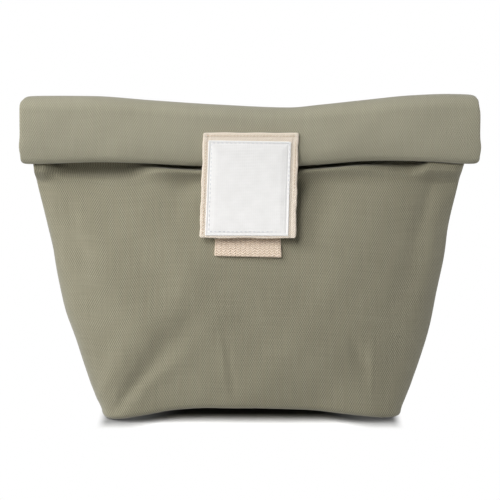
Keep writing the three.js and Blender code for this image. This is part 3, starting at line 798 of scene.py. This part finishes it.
def label_weave(tree, u, v, place):
    """Close satin label cloth: very fine ribs sin(2 pi v / rib pitch) across, with fainter ones along it
    and slight unevenness. Both are drawn coarser than real label threads, so that they show."""
    rib_pitch, fine_pitch = 0.9, 1.3
    rib = calc(tree, "SINE", calc(tree, "MULTIPLY", v, 2 * np.pi / rib_pitch))
    fine = calc(tree, "SINE", calc(tree, "MULTIPLY", u, 2 * np.pi / fine_pitch))
    soft = add(tree, "ShaderNodeTexNoise", {"Vector": place, "Scale": 0.15, "Detail": 4.0})
    height = calc(tree, "ADD", rib, calc(tree, "MULTIPLY", fine, 0.5))
    tone = calc(tree, "ADD", calc(tree, "MULTIPLY", height, 0.12), soft.outputs[0])
    colour = add(tree, "ShaderNodeMix", {"Factor": tone, 6: linear("#E9E8E6"), 7: linear("#F7F6F5")},
                 data_type="RGBA")
    return colour.outputs[2], calc(tree, "MULTIPLY", height, 0.4)


# White woven polyester label: clean and bright, slightly satiny, with barely visible ribs.
label_cloth = fabric("white_woven_label_satin", 0.6, 0.1, label_weave)
x, z, thick = rounded_strip(LABEL_HALF, LABEL_TOP, LABEL_BOTTOM, LABEL_CLOTH, 0.4, 121, 141, corner=0.6)
edge = np.minimum(np.minimum(LABEL_TOP - z, z - LABEL_BOTTOM), LABEL_HALF - np.abs(x))
pucker = 0.22 * np.exp(-(((edge - NEEDLE_LINE) / 0.6) ** 2)) - 0.16 * smooth(edge, 2, 6)
label_x, label_z = hang(x - 0.6, z)
label_z = label_z - 0.013 * x * smooth(z, 130, 168)
label_y = tab_back(z) - TAB_CLOTH - LABEL_GAP - side_lean(x, z) - 0.14 * smooth(edge, 2, 6)
label = sheet_piece("tab_label_cloth", np.stack([label_x, label_y - thick + pucker, label_z], axis=-1),
                    np.stack([label_x, label_y, label_z], axis=-1), label_cloth)
bend_with_tab(label)
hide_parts("tab_label")
# Light grey polyester thread: a cool shade under the white of the label, just seen round its edge.
grey_thread = thread("light_grey_sewing_thread", "#C9CBD1")
on_label = TAB_CLOTH + LABEL_GAP + LABEL_CLOTH - 0.16
sewn_x, sewn_top, sewn_bottom = LABEL_HALF - NEEDLE_LINE, LABEL_TOP - NEEDLE_LINE, LABEL_BOTTOM + NEEDLE_LINE
rows = [along_line(*line, 2.5, on_label) for line in (
    (-sewn_x, sewn_top, sewn_x, sewn_top), (sewn_x, sewn_top, sewn_x, sewn_bottom),
    (sewn_x, sewn_bottom, -sewn_x, sewn_bottom), (-sewn_x, sewn_bottom, -sewn_x, sewn_top))]
label_stitches = stitch_row("label_stitches", *[np.concatenate(v) for v in zip(*rows)],
                            1.7, 0.38, grey_thread, "woven_label")
bend_with_tab(label_stitches)


# Studio: a white paper floor, with a white room behind it. Two large soft lamps from the left light the
# bag. A weaker one from the right fills the shade, and a small one over the bag lights its top fold.
def white_sweep():
    """A matt floor that the camera sees as plain white from about 10 mm off the foot. Nearer, it keeps the
    bag's shadow and has a painted shade, darker towards the foot, over a band that is wider at the corners,
    where a faint painted glow also lifts it. All other rays meet a plain light grey."""
    made = bpy.data.materials.new("white_paper_sweep")
    made.use_nodes = True
    tree = made.node_tree
    tree.nodes.clear()
    ray = add(tree, "ShaderNodeLightPath")
    place = add(tree, "ShaderNodeTexCoord").outputs["Object"]
    x, y, _ = add(tree, "ShaderNodeSeparateXYZ", {0: place}).outputs
    x, y = calc(tree, "ABSOLUTE", x), calc(tree, "ABSOLUTE", y)
    beside = add(tree, "ShaderNodeMapRange", {0: x, 1: 0.0865, 2: 0.0935}, interpolation_type="SMOOTHSTEP")
    before = add(tree, "ShaderNodeMapRange", {0: y, 1: 0.0540, 2: 0.0620}, interpolation_type="SMOOTHSTEP")
    far = calc(tree, "MAXIMUM", beside.outputs[0], before.outputs[0])
    to_corner = add(tree, "ShaderNodeMapRange", {0: x, 1: 0.040, 2: 0.078}, interpolation_type="SMOOTHSTEP")
    corner = to_corner.outputs[0]
    # Painted shade: towards the foot the floor's colour falls to 0.15, or 0.37 at the corners; farther out it
    # rises to 1.4, so that the lit floor shows white.
    start = calc(tree, "ADD", calc(tree, "MULTIPLY", corner, 0.017), 0.029)
    end = calc(tree, "ADD", calc(tree, "MULTIPLY", corner, 0.026), 0.040)
    darkest_painted_shade = calc(tree, "ADD", calc(tree, "MULTIPLY", corner, 0.22), 0.15)
    painted_shade_to_white = add(tree, "ShaderNodeMapRange", {0: y, 1: start, 2: end, 3: darkest_painted_shade, 4: 1.4})
    lit = add(tree, "ShaderNodeBsdfDiffuse", {"Color": painted_shade_to_white.outputs[0]})
    # Painted light: a faint glow, strongest at the corners, lifts the painted shade there.
    painted_glow = add(tree, "ShaderNodeEmission", {"Strength": calc(tree, "MULTIPLY", corner, 0.06)})
    near_bag = add(tree, "ShaderNodeAddShader", {0: lit.outputs[0], 1: painted_glow.outputs[0]})
    backdrop = add(tree, "ShaderNodeEmission", {"Strength": 1.0})
    seen = add(tree, "ShaderNodeMixShader", {0: far, 1: near_bag.outputs[0], 2: backdrop.outputs[0]})
    plain = add(tree, "ShaderNodeBsdfDiffuse", {"Color": (0.75, 0.75, 0.75, 1)})
    mixed = add(tree, "ShaderNodeMixShader", {0: ray.outputs["Is Camera Ray"], 1: plain.outputs[0],
                                              2: seen.outputs[0]})
    add(tree, "ShaderNodeOutputMaterial", {0: mixed.outputs[0]})
    return made


floor_mesh = bpy.data.meshes.new("floor")
floor_mesh.from_pydata([(-4, -4, 0), (4, -4, 0), (4, 4, 0), (-4, 4, 0)], [], [(0, 1, 2, 3)])
floor_mesh.materials.append(white_sweep())
floor = bpy.data.objects.new("floor", floor_mesh)
bpy.context.scene.collection.objects.link(floor)


def soft_box(name, place, target, size, power):
    """A square area lamp at a place, turned to its target."""
    lamp = bpy.data.lights.new(name, "AREA")
    lamp.size = size
    lamp.energy = power
    made = bpy.data.objects.new(name, lamp)
    made.location = place
    made.rotation_euler = (Vector(target) - Vector(place)).to_track_quat("-Z", "Y").to_euler()
    bpy.context.scene.collection.objects.link(made)


BAG_MIDDLE = (0, 0, 0.1)
soft_box("side_lamp", (-2.47, -0.66, 1.67), BAG_MIDDLE, 1.3, 49)
soft_box("front_lamp", (-1.32, -2.11, 1.77), BAG_MIDDLE, 1.3, 38.5)
soft_box("right_fill", (2.90, 0.35, 0.75), BAG_MIDDLE, 1.3, 32)
soft_box("top_lamp", (-0.20, -0.28, 0.59), BAG_MIDDLE, 0.4, 1.0)

world = bpy.data.worlds.new("studio")
bpy.context.scene.world = world
world.use_nodes = True
tree = world.node_tree
tree.nodes.clear()
ray = add(tree, "ShaderNodeLightPath")
seen = calc(tree, "MAXIMUM", ray.outputs["Is Camera Ray"],
            calc(tree, "MAXIMUM", ray.outputs["Is Glossy Ray"], ray.outputs["Is Transmission Ray"]))
room = add(tree, "ShaderNodeBackground", {0: (1, 1, 1, 1), 1: 0.02})
white = add(tree, "ShaderNodeBackground", {0: (1, 1, 1, 1), 1: 1.0})
mixed = add(tree, "ShaderNodeMixShader", {0: seen, 1: room.outputs[0], 2: white.outputs[0]})
add(tree, "ShaderNodeOutputWorld", {0: mixed.outputs[0]})

camera = bpy.data.objects.new("camera", bpy.data.cameras.new("camera"))
camera.data.lens = 119
camera.data.sensor_width = 36
target = Vector((0.0, -0.010, 0.0992))
elevation, distance = np.radians(12), 1.02
camera.location = target + distance * Vector((0, -np.cos(elevation), np.sin(elevation)))
camera.rotation_euler = (target - camera.location).to_track_quat("-Z", "Y").to_euler()
camera.data.clip_start = 0.05
bpy.context.scene.collection.objects.link(camera)
bpy.context.scene.camera = camera
bpy.context.scene.view_settings.view_transform = "Standard"
